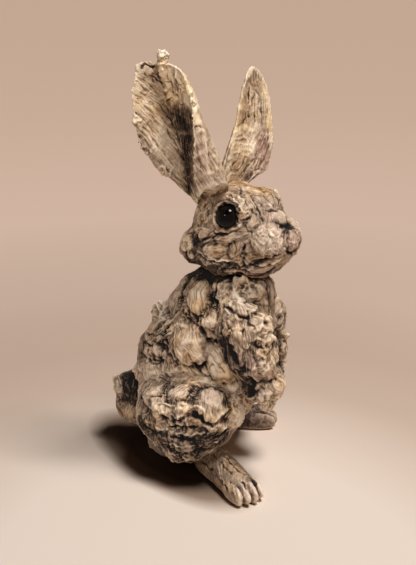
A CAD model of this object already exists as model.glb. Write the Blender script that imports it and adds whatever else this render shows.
"""Resin rabbit sculpture: hand-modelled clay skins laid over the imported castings.

Lengths are in millimetres, unless a name ends in _m or _M, which are in metres, as Blender's own are.
"""

import itertools
import math

import bmesh
import bpy
import numpy as np
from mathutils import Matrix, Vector
from mathutils.bvhtree import BVHTree
from mathutils.geometry import delaunay_2d_cdt


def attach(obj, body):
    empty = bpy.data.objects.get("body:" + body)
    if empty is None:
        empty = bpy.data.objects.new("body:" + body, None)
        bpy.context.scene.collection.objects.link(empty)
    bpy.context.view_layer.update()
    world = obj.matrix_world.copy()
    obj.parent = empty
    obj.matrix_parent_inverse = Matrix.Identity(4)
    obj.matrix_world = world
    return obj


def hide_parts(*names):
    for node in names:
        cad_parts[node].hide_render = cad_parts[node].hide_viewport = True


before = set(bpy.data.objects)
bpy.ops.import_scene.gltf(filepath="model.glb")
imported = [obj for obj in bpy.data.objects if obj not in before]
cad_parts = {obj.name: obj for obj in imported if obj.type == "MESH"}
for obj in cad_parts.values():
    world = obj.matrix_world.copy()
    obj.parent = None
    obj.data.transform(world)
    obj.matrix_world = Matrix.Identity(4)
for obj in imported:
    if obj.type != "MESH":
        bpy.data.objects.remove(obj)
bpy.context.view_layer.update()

MM = 0.001
DOWN = (0, 0, -1)

# Camera: where the photograph was taken from, and its frame
CAMERA_AT_M = (-0.72295, -0.41483, 0.450)
CAMERA_TILT, CAMERA_TURN = 69.85, -60.0  # degrees
LENS, SENSOR = 72.8, 36.0
PHOTO_WIDTH, PHOTO_HEIGHT = 416, 565


def shown(name, data):
    """A new object in the scene."""
    made = bpy.data.objects.new(name, data)
    bpy.context.scene.collection.objects.link(made)
    return made


camera = shown("camera", bpy.data.cameras.new("camera"))
camera.data.lens, camera.data.sensor_width = LENS, SENSOR
camera.location = CAMERA_AT_M
camera.rotation_euler = (math.radians(CAMERA_TILT), 0, math.radians(CAMERA_TURN))
bpy.context.scene.camera = camera

# Noise: gradients on a lattice, the same in every run
lattice = np.random.default_rng(5)
GRADIENTS = lattice.normal(size=(256, 3))
GRADIENTS /= np.linalg.norm(GRADIENTS, axis=1)[:, None]
ORDER = np.tile(lattice.permutation(256), 3)


def noise(points, size, seed):
    """Smooth noise, about -1 to 1, whose features are as large as size."""
    at = np.asarray(points, float) / size + np.array([17.3, 5.1, 11.7]) * (seed + 1)
    cell = np.floor(at).astype(np.int64)
    part = at - cell
    ease = part**3 * (part * (part * 6 - 15) + 10)
    total = np.zeros(len(at))
    for corner in itertools.product((0, 1), repeat=3):
        x, y, z = ((cell + corner) & 255).T
        slope = GRADIENTS[ORDER[ORDER[ORDER[x] + y] + z]]
        share = np.prod(np.where(corner, ease, 1 - ease), axis=1)
        total += share * (slope * (part - corner)).sum(1)
    return total * 1.6


def folds(points, size, seed):
    """Rounded lumps with sharp valleys between them, 0 in a valley and about 1 on a lump."""
    return np.abs(noise(points, size, seed)) * 1.6


def crumple(points, size, seed):
    """Crumpled clay: sharp crooked ridges with hollows between them, 0 in a hollow and about 1 on a ridge."""
    at = np.asarray(points, float)
    at = at + 0.4 * size * np.stack([noise(at, 1.5 * size, seed + 20 + k) for k in range(3)], 1)
    total, weight, rise = np.zeros(len(at)), 1.0, 1.0
    for k in range(3):
        at = at - 0.22 * size / 2**k * total[:, None] * np.array(DOWN)
        ridge = 1 - np.clip(np.abs(noise(at, size / 1.9**k, seed + 3 * k)) * 1.7, 0, 1)
        ridge = ridge**1.4 * weight
        weight = np.clip(ridge * 1.5, 0, 1)
        total = total + rise * ridge
        rise *= 0.55
    return total / 1.5


def eased(low, high, values):
    t = np.clip((values - low) / (high - low), 0, 1)
    return t * t * (3 - 2 * t)


def unit(v):
    v = np.asarray(v, float)
    return v / max(np.linalg.norm(v), 1e-9)


def cad_points(node):
    return np.array([v.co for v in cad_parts[node].data.vertices], float) / MM


def across_surface(direction, out):
    """The part of a direction that lies in the surface with that normal."""
    direction = np.asarray(direction, float)
    return unit(direction - np.dot(direction, out) * np.asarray(out))


FOCAL = LENS / SENSOR * PHOTO_HEIGHT
PX = 0.72  # millimetres that a pixel of the photograph covers at the rabbit


rng, spare = np.random.default_rng(20), np.random.default_rng(21)


class Look:
    """Where pixels lie on the rabbit: seen from the photograph, or mirrored onto its hidden side.

    A mirrored look has random numbers of its own, so that it leaves those of the photographed side alone.
    """

    def __init__(self, eye, axes, numbers, middle=None, across=None):
        self.eye, self.axes, self.numbers, self.middle, self.across = eye, axes, numbers, middle, across

    def seed(self):
        return int(self.numbers.integers(1, 900))

    def mirrored(self, right, left):
        """The same look from the other side of the plane midway between a right casting and a left one."""
        a, b = (cad_points(node).mean(0) for node in (right, left))
        middle, across = (a + b) / 2, unit(b - a)
        eye = self.eye - 2 * ((self.eye - middle) @ across) * across
        return Look(eye, self.axes - 2 * np.outer(across, across @ self.axes), spare, middle, across)

    def ray(self, x, y):
        """The direction from the eye through a pixel."""
        return unit(self.axes @ ((x - PHOTO_WIDTH / 2) / FOCAL, (PHOTO_HEIGHT / 2 - y) / FOCAL, -1))

    def rays(self, places):
        """The directions from the eye to places."""
        return (places - self.eye) / np.linalg.norm(places - self.eye, axis=1)[:, None]

    def direction(self, dx, dy):
        """A direction across the picture, in the model's axes."""
        return self.axes @ (dx, -dy, 0)

    def pixels(self, places):
        local = (places - self.eye) @ self.axes
        return np.stack([PHOTO_WIDTH / 2 - FOCAL * local[:, 0] / local[:, 2],
                         PHOTO_HEIGHT / 2 + FOCAL * local[:, 1] / local[:, 2]], 1)

    def share(self, places):
        """1 for places that this look may change; the mirrored one leaves the photographed side alone."""
        if self.across is None:
            return np.ones(len(places))
        return eased(-2, 4, (places - self.middle) @ self.across)


HERE = Look(np.array(CAMERA_AT_M) / MM, np.array(camera.rotation_euler.to_matrix()), rng)


def from_path(points, path):
    """How far points are from a path."""
    off = np.full(len(points), 1e9)
    for start, end in zip(path[:-1], path[1:]):
        step = end - start
        share = np.clip((points - start) @ step / max(step @ step, 1e-9), 0, 1)
        off = np.minimum(off, np.linalg.norm(points - start - share[:, None] * step, axis=1))
    return off


def inside_outline(points, outline):
    inside = np.zeros(len(points), bool)
    for (x1, y1), (x2, y2) in zip(outline, np.roll(outline, -1, axis=0)):
        crosses = (y1 > points[:, 1]) != (y2 > points[:, 1])
        inside ^= crosses & (points[:, 0] < (x2 - x1) * (points[:, 1] - y1) / (y2 - y1 + 1e-12) + x1)
    return inside


FLAP_BACK = 1.8  # how far a flap reaches into the skin, in mm
FLAP_TORN, FLAP_STEP, FLAP_GRID = 0.3, 1.6, 1.8  # how ragged its edge is, and its points' spacing, in pixels


def slab(points, finder, outline, lift, look):
    """A flap of clay over the skin inside an outline of pixels, lift proud of it and with a torn edge."""
    outline = np.asarray(outline, float)
    edge = []
    for start, end in zip(outline, np.roll(outline, -1, axis=0)):
        steps = max(1, int(np.linalg.norm(end - start) / FLAP_STEP))
        for k in range(steps):
            edge.append(start + (end - start) * k / steps)
    edge = np.array(edge) + look.numbers.normal(size=(len(edge), 2)) * FLAP_TORN
    low, high = edge.min(0), edge.max(0)
    xs, ys = np.meshgrid(np.arange(low[0], high[0], FLAP_GRID), np.arange(low[1], high[1], FLAP_GRID))
    inner = np.stack([xs.ravel(), ys.ravel()], 1)
    inner = inner[inside_outline(inner, edge)]
    gap = np.array([np.linalg.norm(edge - p, axis=1).min() for p in inner])
    inner = inner[gap > 1.0]
    flat = [Vector(p) for p in np.concatenate([edge, inner])]
    ring = list(range(len(edge)))
    corners, _, faces = delaunay_2d_cdt(flat, [], [ring], 1, 1e-4)[:3]
    corners = np.array([tuple(c) for c in corners])
    rays = np.array([look.ray(*c) for c in corners])
    depth = np.full(len(corners), np.nan)
    for i, ray in enumerate(rays):
        hit = finder.ray_cast(Vector(look.eye), Vector(ray))
        if hit[0] is not None:
            depth[i] = hit[3]
    known = np.flatnonzero(~np.isnan(depth))
    if len(known) == 0:
        middle = rays.mean(0)
        off = [np.linalg.norm(np.cross(p - look.eye, middle)) for p in points]
        depth[0] = (points[int(np.argmin(off))] - look.eye) @ middle
        known = np.array([0])
    for i in np.flatnonzero(np.isnan(depth)):
        nearest = known[np.argsort(((corners[known] - corners[i]) ** 2).sum(1))[:3]]
        depth[i] = depth[nearest].mean()
    rim = np.array([np.linalg.norm(edge - c, axis=1).min() for c in corners])
    proud = lift * (0.55 + 0.45 * eased(0, 3.5, rim))
    top = look.eye + rays * (depth - proud)[:, None]
    bottom = look.eye + rays * (depth + FLAP_BACK)[:, None]
    count = len(corners)
    made, uses = [], {}
    for face in faces:
        a, b, c = face[:3]
        turn = np.cross(top[b] - top[a], top[c] - top[a]) @ rays[a]
        face = (a, b, c) if turn < 0 else (a, c, b)
        made += [face, tuple(i + count for i in reversed(face))]
        uses.update(dict.fromkeys(zip(face, face[1:] + face[:1])))
    for i, j in uses:
        if (j, i) not in uses:
            made.append((j, i, i + count, j + count))
    return np.concatenate([top, bottom]), made


def cad_finder(points, node):
    faces = [tuple(p.vertices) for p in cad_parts[node].data.polygons]
    return BVHTree.FromPolygons([tuple(p) for p in points], faces)


def even_mesh(node, pitch, flaps):
    """The CAD node's surface and any flaps of clay on it, meshed evenly at a pitch."""
    copy = shown("even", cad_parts[node].data.copy())
    if flaps:
        points = [tuple(v.co) for v in copy.data.vertices]
        corners = [tuple(p.vertices) for p in copy.data.polygons]
        for places, faces in flaps:
            shift = len(points)
            points += [tuple(p) for p in places * MM]
            corners += [tuple(i + shift for i in face) for face in faces]
        copy.data = bpy.data.meshes.new("joined")
        copy.data.from_pydata(points, [], corners)
    even = copy.modifiers.new("even", "REMESH")
    even.mode, even.voxel_size, even.adaptivity = "VOXEL", pitch * MM, 0
    shaped = copy.evaluated_get(bpy.context.evaluated_depsgraph_get())
    mesh = bpy.data.meshes.new_from_object(shaped)
    bpy.data.objects.remove(copy)
    return mesh


FIRST_SMOOTHING = 5  # rounds
GROUND_GAP = 0.3  # least height over the ground, in mm
LEVEL_PERCENT = 60  # how much of the clay lies below the solid's own surface
BAND_ROUNDS = (1, 4, 18, 62)  # smoothing that splits the relief into bands, fine to broad


class Skin:
    """One casting's surface, with the height of the clay laid on each of its points."""

    def __init__(self, node, pitch, grow, flaps):
        self.node = node
        self.mesh = even_mesh(node, pitch, flaps)
        self.count = count = len(self.mesh.vertices)
        points = np.empty(count * 3)
        self.mesh.vertices.foreach_get("co", points)
        ends = np.empty(len(self.mesh.edges) * 2, np.int32)
        self.mesh.edges.foreach_get("vertices", ends)
        self.a, self.b = ends[0::2], ends[1::2]
        self.degree = np.maximum(np.bincount(ends, minlength=count), 1)
        self.set_place(self.smoothed(points.reshape(-1, 3) / MM, FIRST_SMOOTHING))
        self.set_place(self.place + self.out * grow)
        self.height = np.zeros(count)
        self.tone = np.zeros(count)  # paint: above 0 paler, below 0 darker
        self.hue = np.zeros(count)  # above 0 warmer, below 0 cooler
        self.rough = np.ones(count)
        self.grain = np.zeros((count, 3))
        self.lean = np.zeros((count, 3))
        faces = [tuple(p.vertices) for p in self.mesh.polygons]
        self.finder = BVHTree.FromPolygons([tuple(p) for p in self.place], faces)

    def smoothed(self, values, rounds, keep=0.5):
        values = np.asarray(values, float)
        if values.ndim == 2:
            return np.stack([self.smoothed(values[:, i], rounds, keep) for i in range(values.shape[1])], 1)
        for _ in range(rounds):
            around = np.bincount(self.a, values[self.b], self.count)
            around += np.bincount(self.b, values[self.a], self.count)
            values = keep * values + (1 - keep) * around / self.degree
        return values

    def set_place(self, place):
        self.place = place
        self.mesh.vertices.foreach_set("co", (place * MM).astype(np.float32).ravel())
        self.mesh.update()
        normals = np.empty(self.count * 3, np.float32)
        self.mesh.vertex_normals.foreach_get("vector", normals)
        self.out = normals.reshape(-1, 3).astype(float)

    def seen_at(self, x, y, look):
        """The point of the skin that shows at a pixel, and its normal; or the nearest to that ray."""
        ray = look.ray(x, y)
        hit = self.finder.ray_cast(Vector(look.eye), Vector(ray))
        if hit[0] is None:
            toward = self.place - look.eye
            along = toward @ ray
            off = np.linalg.norm(toward - along[:, None] * ray, axis=1)
            i = int(np.argmin(off + 0.02 * along))
            return self.place[i], self.out[i]
        return np.array(hit[0]), np.array(hit[1])

    def region(self, outline, soft, look, front=True):
        """How far each point lies in an outline, from 0 to 1; on the side that shows, or right through."""
        pixels = look.pixels(self.place)
        pixels += 0.8 * np.stack([noise(self.place, 6, 91), noise(self.place, 6, 92)], 1)
        outline = np.asarray(outline, float)
        off = from_path(pixels, np.concatenate([outline, outline[:1]]))
        off = np.where(inside_outline(pixels, outline), off, -off)
        share = eased(-soft, soft, off) * look.share(self.place)
        if front:
            share = share * eased(-0.1, 0.25, -(self.out * look.rays(self.place)).sum(1))
        return share

    def patch(self, centre, out, reach):
        """The points within reach of a centre that face its way, and their offsets from it."""
        offset = self.place - centre
        picked = np.flatnonzero(((offset**2).sum(1) < reach * reach) & (self.out @ out > 0))
        return picked, offset[picked]

    def lock(self, centre, out, along, size, rise, seed, tip, tone, ragged=0.16, soft=0.85, tuck=0.0):
        """A petal of clay: a rounded lobe if tip is 0, and a flap that stands proud at its tip if it is 1."""
        length, width = size
        along = across_surface(along, out)
        side = np.cross(out, along)
        picked, offset = self.patch(centre, out, 0.75 * max(length, width) + 1)
        if len(picked) < 4:
            return
        place = self.place[picked]
        u, v = offset @ along / length, offset @ side / width
        wobble = noise(place, 0.3 * width + 2, seed)
        finer = noise(place, 2.4, seed + 1)
        v = v + 0.10 * wobble
        reach = np.sqrt((2 * u) ** 2 + (2 * v) ** 2 / np.clip(0.85 + 0.5 * u, 0.4, 1.2))
        reach = reach + ragged * (0.9 * wobble + 0.4 * finer)
        t = np.clip(u + 0.5, 0, 1)
        crisp = min(0.8, 3.4 / min(length, width))
        edge = soft + (min(crisp, soft) - soft) * t**1.5
        inside = 1 - eased(1 - edge, 1 + 0.2 * edge, reach)
        if inside.max() < 0.5:
            return
        core = reach < 0.9
        level = np.percentile(self.height[picked][core], 35) if core.any() else 0.0
        round_part = np.clip(1 - reach**2, 0, 1)
        flap_part = t**1.3 * (1 - 0.35 * np.clip(2 * np.abs(v), 0, 1) ** 2)
        laid = level + rise * ((1 - tip) * round_part + tip * flap_part)
        self.height[picked] = self.height[picked] * (1 - inside) + laid * inside
        self.lean[picked] += np.outer(0.6 * tip * rise * t**2 * inside, along)
        flow = np.stack([u * length, v * width * (1.3 - 0.6 * t), np.full(len(u), seed * 7.7 % 91)], 1)
        strong = inside > 0.5
        self.grain[picked[strong]] = flow[strong]
        self.tone[picked] = self.tone[picked] * (1 - inside) + tone * inside
        around = tuck * np.exp(-(((reach - 1.08) / 0.11) ** 2)) * (0.35 + 0.65 * t)
        self.height[picked] -= around
        self.tone[picked] -= 0.08 * around

    def knob(self, centre, out, radius, rise, seed, tone):
        """A rounded ball of clay; a hollow if rise is below 0."""
        picked, offset = self.patch(centre, out, 1.5 * radius)
        if len(picked) < 4:
            return
        off = np.linalg.norm(offset - np.outer(offset @ out, out) * 0.5, axis=1) / radius
        off = off * (1 + 0.18 * noise(self.place[picked], 0.6 * radius + 1, seed))
        inside = 1 - eased(0.1, 1.2, off)
        self.height[picked] += rise * inside
        self.tone[picked] += tone * inside

    def line(self, points, width, rise, tone, seed):
        """A ridge along points of the skin; a crease if rise is below 0."""
        low, high = points.min(0) - 3 * width, points.max(0) + 3 * width
        near = np.flatnonzero(((self.place > low) & (self.place < high)).all(1))
        if len(near) == 0:
            return
        place = self.place[near]
        place = place + 1.3 * np.stack([noise(place, 5, seed + k) for k in range(3)], 1)
        ragged = np.clip(1 + 0.9 * noise(place, 4.0, seed + 5), 0.3, 2)
        away = from_path(place, points) / (width * ragged)
        broken = np.clip(0.9 + 1.1 * noise(place, 8.0, seed + 6), 0.1, 1.4)
        shape = np.exp(-(away**2)) * broken
        self.height[near] += rise * shape
        self.tone[near] += tone * (0.6 * shape + 0.4 * broken * np.exp(-((0.55 * away) ** 2)))

    def finish_shape(self):
        """Moves the points out by the clay's height, and measures the relief for the paint."""
        height = self.height - np.percentile(self.height, LEVEL_PERCENT)
        lean = self.lean - self.out * (self.lean * self.out).sum(1)[:, None]
        moved = self.place + self.out * height[:, None] + lean
        moved[:, 2] = np.maximum(moved[:, 2], GROUND_GAP)
        self.set_place(moved)
        self.bands, last = [], self.place
        for rounds in BAND_ROUNDS:
            average = self.smoothed(last, rounds, 0.2)
            self.bands.append(((last - average) * self.out).sum(1))
            last = average

    def attribute(self, name, values):
        kind = "FLOAT" if np.ndim(values) == 1 else "FLOAT_VECTOR"
        field = "value" if kind == "FLOAT" else "vector"
        made = self.mesh.attributes.new(name, kind, "POINT")
        made.data.foreach_set(field, np.asarray(values, np.float32).ravel())


def spots(skin, count, spacing):
    """Points spread over a skin, no two nearer than the spacing."""
    found, cells = [], {}
    for i in rng.permutation(skin.count)[: count * 12]:
        p = skin.place[i]
        key = (p // spacing).astype(int)
        around = [tuple(key + step) for step in itertools.product((-1, 0, 1), repeat=3)]
        others = [q for cell in around for q in cells.get(cell, ())]
        if all(((skin.place[q] - p) ** 2).sum() >= spacing * spacing for q in others):
            cells.setdefault(tuple(key), []).append(i)
            found.append(int(i))
        if len(found) >= count:
            break
    return found


def natural_grain(skin, along):
    """The first grain of a skin: lengths along a direction, and round it."""
    along = unit(along)
    side = unit(np.cross(along, [0.31, 0.9, 0.2]))
    other = np.cross(along, side)
    middle = skin.place.mean(0)
    offset = skin.place - middle
    angle = np.arctan2(offset @ side, offset @ other)
    spread = np.hypot(offset @ side, offset @ other).mean()
    turn = noise(skin.place, 18, 3) * 4
    across = spread * np.stack([np.cos(angle), np.sin(angle) / 5.3], 1)
    skin.grain[:] = np.stack([offset @ along + turn, across[:, 0] + turn, across[:, 1]], 1)


def clothe(skin, flow, sizes):
    """Covers a skin in locks of clay. Each size is count, spacing, length, width, rise, only where rough."""
    for count, spacing, length, width, rise, rough_only in sizes:
        for i in spots(skin, count, spacing):
            if rough_only and skin.rough[i] < rng.uniform(0.15, 0.75):
                continue
            along = across_surface(flow + rng.normal(size=3) * 0.55, skin.out[i])
            grow = rng.uniform(0.7, 1.3)
            size = length * grow, width * grow * rng.uniform(0.8, 1.25)
            proud = rise * rng.uniform(0.6, 1.3)
            seed = int(rng.integers(1, 900))
            tip = rng.uniform(0.4, 1.0)
            skin.lock(skin.place[i], skin.out[i], along, size, proud, seed, tip, rng.normal() * 0.07)


# Crumpled clay: the size of its folds, how far they stand proud where it is smooth and where it is rough
BODY_CRUMPLES = [(17, 0.8, 2.6), (7, 0.3, 1.5), (3.4, 0.14, 0.6)]
HEAD_CRUMPLES = [(12, 0.6, 1.5), (5.5, 0.35, 1.3), (3, 0.18, 0.8)]
EAR_CRUMPLES = [(16, 0.7, 2.0), (6, 0.3, 1.3), (3, 0.1, 0.7)]


def wrinkle(skin, strength, seed, streaks, crumples):
    """Modelling marks: streaks along the grain, which are a rise, a length and a width, and crumpled clay."""
    rise, long, wide = streaks
    rough = eased(0.2, 0.9, skin.rough) * np.maximum(1, skin.rough)
    for size, smooth_rise, rough_rise in crumples:
        fold = crumple(skin.place, size, seed + int(10 * size))
        laid = strength * (smooth_rise * (1 - rough) + rough_rise * rough) * (fold - 0.45)
        skin.height += laid
        skin.lean += np.outer(0.5 * np.clip(laid, 0, None), DOWN)
    grain = skin.grain * (1, 1, 3.1)
    grain[:, 1] += 0.5 * wide * noise(skin.place, 5 * wide, seed + 31)
    streak = grain / (long, wide, 1)
    fine = grain / (0.6 * long, 0.45 * wide, 1)
    depth = np.clip(0.75 + 0.9 * noise(skin.place, 12, seed + 32), 0.1, 1.6)
    marks = 0.8 * noise(streak, 1, seed) + 0.5 * noise(fine, 1, seed + 9)
    marks -= 0.4 * folds(streak + 9, 1, seed + 2)
    skin.height += strength * depth * rise * (1 - 0.4 * np.minimum(rough, 1)) * marks


# Materials
def node_material(name):
    material = bpy.data.materials.new(name)
    material.use_nodes = True
    tree = material.node_tree
    shader = tree.nodes["Principled BSDF"]
    return material, tree, shader


def put(tree, kind, **values):
    made = tree.nodes.new(kind)
    for key, value in values.items():
        setattr(made, key, value)
    return made


def ramp(tree, source, stops):
    made = tree.nodes.new("ShaderNodeValToRGB")
    elements = made.color_ramp.elements
    while len(elements) < len(stops):
        elements.new(0.5)
    for element, (at, colour) in zip(elements, stops):
        element.position = at
        element.color = (*linear(colour), 1)
    tree.links.new(source, made.inputs["Fac"])
    return made.outputs["Color"]


def linear(colour):
    """Colour 0 to 255 as it shows, as light."""
    c = np.asarray(colour, float) / 255
    return tuple(np.where(c <= 0.04045, c / 12.92, ((c + 0.055) / 1.055) ** 2.4))


def maths(tree, operation, a, b=None, clamp=False):
    made = put(tree, "ShaderNodeMath", operation=operation, use_clamp=clamp)
    for socket, value in zip(made.inputs, (a, b)):
        if value is None:
            continue
        if isinstance(value, (int, float)):
            socket.default_value = value
        else:
            tree.links.new(value, socket)
    return made.outputs[0]


def scaled(tree, source, gain, centre=0):
    """The source's distance from the centre, times the gain."""
    if centre:
        source = maths(tree, "SUBTRACT", source, centre)
    return maths(tree, "MULTIPLY", source, gain)


def summed(tree, *terms, clamp=False):
    made = terms[0]
    for term in terms[1:]:
        made = maths(tree, "ADD", made, term, clamp=clamp and term is terms[-1])
    return made


def vector_maths(tree, operation, source, value=(0, 0, 0)):
    made = put(tree, "ShaderNodeVectorMath", operation=operation)
    made.inputs[1].default_value = value
    tree.links.new(source, made.inputs[0])
    return made.outputs["Vector" if operation == "SUBTRACT" else "Value"]


def noise_node(tree, vector, scale, detail, roughness, stretch=None):
    made = put(tree, "ShaderNodeTexNoise")
    made.inputs["Scale"].default_value = scale
    made.inputs["Detail"].default_value = detail
    made.inputs["Roughness"].default_value = roughness
    if stretch is not None:
        mapping = put(tree, "ShaderNodeMapping")
        mapping.inputs["Scale"].default_value = stretch
        tree.links.new(vector, mapping.inputs["Vector"])
        vector = mapping.outputs["Vector"]
    tree.links.new(vector, made.inputs["Vector"])
    return made.outputs["Fac"]


def multiplied(tree, share, a, b):
    """The colour a, multiplied by b as far as the share says."""
    made = put(tree, "ShaderNodeMix", data_type="RGBA", blend_type="MULTIPLY")
    for socket, value in ((made.inputs[0], share), (made.inputs[6], a), (made.inputs[7], b)):
        if isinstance(value, (int, float)):
            socket.default_value = value
        elif isinstance(value, tuple):
            socket.default_value = (*value, 1)
        else:
            tree.links.new(value, socket)
    return made.outputs[2]


def roughen(tree, height, shader, strength, distance_m):
    bump = put(tree, "ShaderNodeBump")
    bump.inputs["Strength"].default_value = strength
    bump.inputs["Distance"].default_value = distance_m
    tree.links.new(height, bump.inputs["Height"])
    tree.links.new(bump.outputs["Normal"], shader.inputs["Normal"])


def clay_material(name, stops, warm, cool):
    """Painted resin: dark wash in the hollows, mid brown over all, pale paint rubbed on the high edges."""
    material, tree, shader = node_material(name)
    keys = "paint", "hue", "grain"
    paint, hue, grain = (put(tree, "ShaderNodeAttribute", attribute_name=key).outputs for key in keys)
    place = put(tree, "ShaderNodeTexCoord").outputs["Object"]
    streak = noise_node(tree, grain["Vector"], 1.0, 3, 0.6, stretch=(0.16, 1.15, 6.1))
    mottle = noise_node(tree, place, 420, 4, 0.65)
    speck = noise_node(tree, place, 1500, 2, 0.6)
    gains = (streak, 0.40), (mottle, 0.36), (speck, 0.16)
    level = summed(tree, paint["Fac"], *(scaled(tree, *pair, 0.5) for pair in gains), clamp=True)
    tinted = ramp(tree, level, stops)
    for way, tint in ((1.0, warm), (-1.0, cool)):
        share = maths(tree, "MULTIPLY", hue["Fac"], way, clamp=True)
        tinted = multiplied(tree, share, tinted, linear(tint))
    tree.links.new(tinted, shader.inputs["Base Color"])
    tree.links.new(summed(tree, 0.84, scaled(tree, level, -0.22)), shader.inputs["Roughness"])
    shader.inputs["Specular IOR Level"].default_value = 0.32
    gains = (streak, 0.7), (mottle, 0.5), (speck, 0.25)
    roughen(tree, summed(tree, *(scaled(tree, *pair) for pair in gains)), shader, 0.8, 0.0009)
    return material


BODY_STOPS = [
    (0.0, (14, 11, 9)),
    (0.2, (66, 53, 44)),
    (0.42, (137, 116, 97)),
    (0.6, (179, 154, 131)),
    (0.8, (211, 188, 163)),
    (1.0, (240, 222, 200)),
]
EAR_STOPS = [
    (0.0, (16, 12, 9)),
    (0.2, (86, 68, 52)),
    (0.42, (152, 128, 104)),
    (0.6, (194, 169, 142)),
    (0.8, (222, 199, 170)),
    (1.0, (245, 229, 204)),
]
body_clay = clay_material("body_clay", BODY_STOPS, (255, 231, 188), (226, 209, 216))
ear_clay = clay_material("ear_clay", EAR_STOPS, (255, 232, 186), (228, 210, 216))


EDGE_PAINT = [(1.9, 0.85), (0.9, 0.38), (0.32, 0.2), (0.15, 0.16)]  # fine to broad: raised, hollow


def paint(skin):
    """Writes what the material reads: paint from 0, wash, to 1, rubbed pale; hue; and the grain."""
    level = np.zeros(skin.count)
    for band, (pale, dark) in zip(skin.bands, EDGE_PAINT):
        band = band - np.median(band)
        level += np.where(band > 0, pale, dark) * band
    level = 0.5 + 0.5 * np.tanh(level / 0.5) + skin.tone
    level += 0.08 * noise(skin.place, 14, 21) + 0.06 * noise(skin.place, 5, 22)
    hue = 0.08 + skin.hue + 0.5 * noise(skin.place, 22, 31) + 0.3 * noise(skin.place, 8, 32)
    skin.attribute("paint", level)
    skin.attribute("hue", hue)
    skin.attribute("grain", skin.grain)


def piece(node, name, mesh, material):
    """Shows a mesh in place of a CAD node."""
    mesh.name = name
    mesh.materials.clear()
    mesh.materials.append(material)
    mesh.polygons.foreach_set("use_smooth", np.ones(len(mesh.polygons), bool))
    made = shown(name, mesh)
    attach(made, "root")
    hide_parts(node)


LOCK_RISE, CREASE_DEPTH, LINE_TONE = 1.15, 0.7, 0.8  # shares of what the tables say


def lay_locks(skin, rows, look):
    for x, y, dx, dy, length, width, rise, tip, tone in rows:
        centre, out = skin.seen_at(x, y, look)
        seed = look.seed()
        if look.share(centre[None])[0] < 0.9:
            continue
        along, size = look.direction(dx, dy), (length * PX, width * PX)
        edge = {"ragged": 0.12, "soft": 0.6, "tuck": 0.4 * rise}
        skin.lock(centre, out, along, size, LOCK_RISE * rise, seed, tip, tone, **edge)


def lay_lines(skin, rows, look):
    for width, rise, tone, pixels in rows:
        points = np.array([skin.seen_at(x, y, look)[0] for x, y in pixels])
        points = points[look.share(points) > 0.3]
        if len(points) > 1:
            skin.line(points, width, rise * (CREASE_DEPTH if rise < 0 else 1), LINE_TONE * tone, look.seed())


def lay_knobs(skin, rows, look):
    for x, y, radius, rise, tone in rows:
        centre, out = skin.seen_at(x, y, look)
        skin.knob(centre, out, radius * PX, rise, look.seed(), tone)


def set_rough(skin, rows, look):
    for x, y, radius, value in rows:
        centre = skin.seen_at(x, y, look)[0]
        off = np.linalg.norm(skin.place - centre, axis=1) / (radius * PX)
        share = (1 - eased(0.6, 1.15, off + 0.15 * noise(skin.place, 6, 77))) * look.share(skin.place)
        skin.rough = skin.rough * (1 - share) + value * share


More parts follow.
